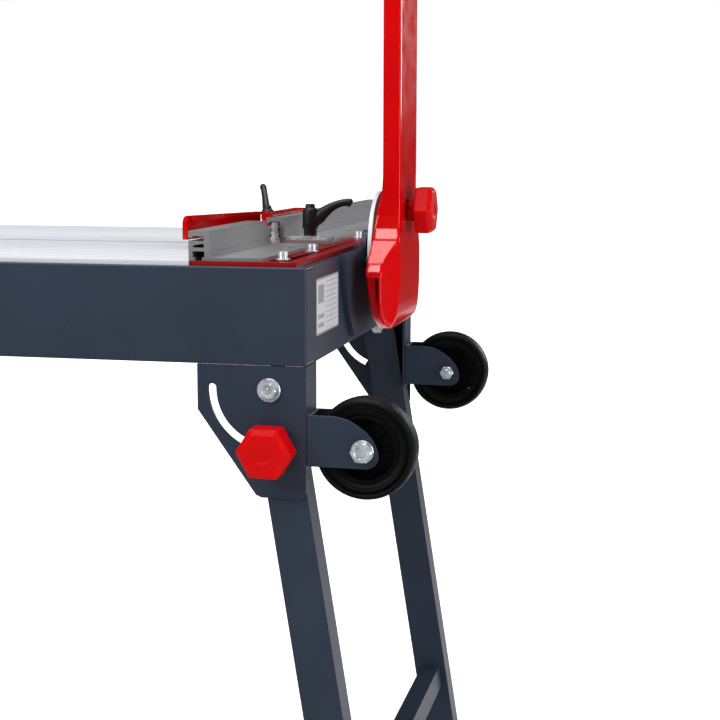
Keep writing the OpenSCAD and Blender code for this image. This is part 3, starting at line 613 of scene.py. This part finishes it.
scene.view_settings.view_transform = "Standard"
world = bpy.data.worlds.new("studio")
scene.world = world
world.use_nodes = True
# a white room to look at, with darker walls in the reflections
SEEN, DIFFUSE, MIRRORED = 1.0, 0.55, 0.02
tree = world.node_tree
bg = tree.nodes["Background"]
bg.inputs["Color"].default_value = (1.0, 1.0, 1.0, 1)
rays = tree.nodes.new("ShaderNodeLightPath")
dim = tree.nodes.new("ShaderNodeMix")
dim.inputs["A"].default_value = DIFFUSE
dim.inputs["B"].default_value = MIRRORED
full = tree.nodes.new("ShaderNodeMix")
full.inputs["B"].default_value = SEEN
tree.links.new(rays.outputs["Is Glossy Ray"], dim.inputs["Factor"])
tree.links.new(dim.outputs["Result"], full.inputs["A"])
tree.links.new(rays.outputs["Is Camera Ray"], full.inputs["Factor"])
tree.links.new(full.outputs["Result"], bg.inputs["Strength"])

mid_y = (lo_f[1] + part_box("frame_back")[1][1]) / 2


def area(name, at, aim, width, height, power):
    """A rectangular lamp; at and aim are measured from the middle of the frame's depth."""
    d = bpy.data.lights.new(name, "AREA")
    d.shape = "RECTANGLE"
    d.size = width
    d.size_y = height
    d.energy = power
    o = bpy.data.objects.new(name, d)
    scene.collection.objects.link(o)
    o.location = Vector(at) + Vector((0, mid_y, 0))
    o.rotation_euler = (Vector(aim) - Vector(at)).to_track_quat("-Z", "Y").to_euler()
    return o


area("key", (-1.9, -3.0, 2.6), (0.2, 0, 0.75), 1.6, 1.6, power=70)
area("side", (3.3, -0.7, 0.9), (0.6, -0.1, 0.75), 0.9, 1.7, power=38)
rim = area("rim", (3.0, 4.6, 1.9), (0.7, 0, 0.6), 1.8, 1.8, power=70)
rim.visible_diffuse = False
area("high", (0.3, -1.8, 3.0), (0.75, 0, 0.75), 0.7, 1.3, power=36)
area("top", (0.35, 0.3, 4.6), (0.3, 0.1, 0.7), 3.2, 2.2, power=160)

FLOOR_RADIUS = 40
FLOOR_WHITE = (0.9, 0.9, 0.9)
floor_mesh = bpy.data.meshes.new("floor")
bm = bmesh.new()
bmesh.ops.create_circle(bm, cap_ends=True, segments=96, radius=FLOOR_RADIUS)
bm.to_mesh(floor_mesh)
bm.free()
floor = bpy.data.objects.new("floor", floor_mesh)
scene.collection.objects.link(floor)
fm = Mat("floor", FLOOR_WHITE, rough=0.8, spec=0.1)
rays = fm.new("LightPath")
place = fm.new("SeparateXYZ")
fm.link(fm.tc.outputs["Object"], place.inputs["Vector"])
far = fm.new("VectorMath", operation="LENGTH")
fm.link(fm.tc.outputs["Object"], far.inputs[0])

# bright in the reflections just behind the machine, dark elsewhere
shine = fm.new("Math", operation="MULTIPLY")
fm.link(fm.spread(place.outputs["Y"], 0.08, 0.9, 0.1, 0.5), shine.inputs[0])
fm.link(fm.spread(far.outputs["Value"], 1.0, 0.1, 2.5, 5.0), shine.inputs[1])
pale = fm.new("Mix", data_type="RGBA")
pale.inputs[COLOR_A].default_value = (*FLOOR_WHITE, 1)
fm.link(rays.outputs["Is Glossy Ray"], pale.inputs[FACTOR])
fm.link(shine.outputs["Value"], pale.inputs[COLOR_B])
fm.link(pale.outputs[COLOR_OUT], fm.b.inputs["Base Color"])
fm.b.inputs["Emission Color"].default_value = (1, 1, 1, 1)
# the far floor fades into the white of the studio
glow = fm.new("Math", operation="MULTIPLY")
fm.link(fm.spread(far.outputs["Value"], 0.36, 1.0, 1.4, 4.0), glow.inputs[0])
fm.link(rays.outputs["Is Camera Ray"], glow.inputs[1])
fm.link(glow.outputs["Value"], fm.b.inputs["Emission Strength"])
floor.data.materials.append(fm.m)
